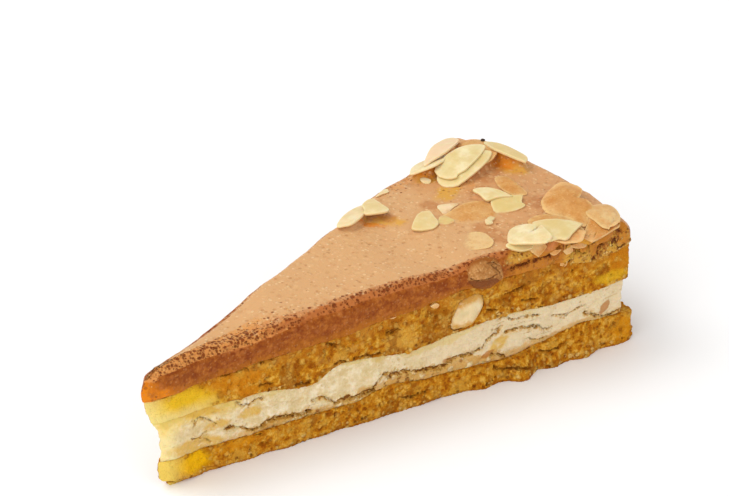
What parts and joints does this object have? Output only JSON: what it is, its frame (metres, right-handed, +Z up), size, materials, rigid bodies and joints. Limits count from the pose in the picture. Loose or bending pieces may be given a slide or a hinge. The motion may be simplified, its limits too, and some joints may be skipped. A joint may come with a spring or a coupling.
{
  "type": "almond cake slice",
  "caption": "Cut wedge of layered almond cake: sponge, cream, sponge and a thick caramel topping with sliced almonds on the rim half.",
  "frame": {"origin": "middle of the slice's footprint, on the surface it rests on", "axes": "+X from the cut tip to the outer rim, +Z up, +Y towards the far cut face"},
  "size_m": [0.1284, 0.0578, 0.0374],
  "materials": {
    "sponge": "matte, crumbly golden almond sponge",
    "cream": "satin ivory cream",
    "caramel": "satin set caramel",
    "almond": "matte pale sliced almond",
    "nut": "matte blanched nut"
  },
  "bodies": {
    "root": {"base_sponge": "sponge", "cream_filling": "cream", "upper_sponge": "sponge", "caramel_topping": "caramel", "nut_chunk": "nut", "almond_flake_1": "almond", "almond_flake_2": "almond", "almond_flake_3": "almond", "almond_flake_4": "almond", "almond_flake_5": "almond", "almond_flake_6": "almond", "almond_flake_7": "almond", "almond_flake_8": "almond", "almond_flake_9": "almond", "almond_flake_10": "almond", "almond_flake_11": "almond"}
  },
  "joints": []
}
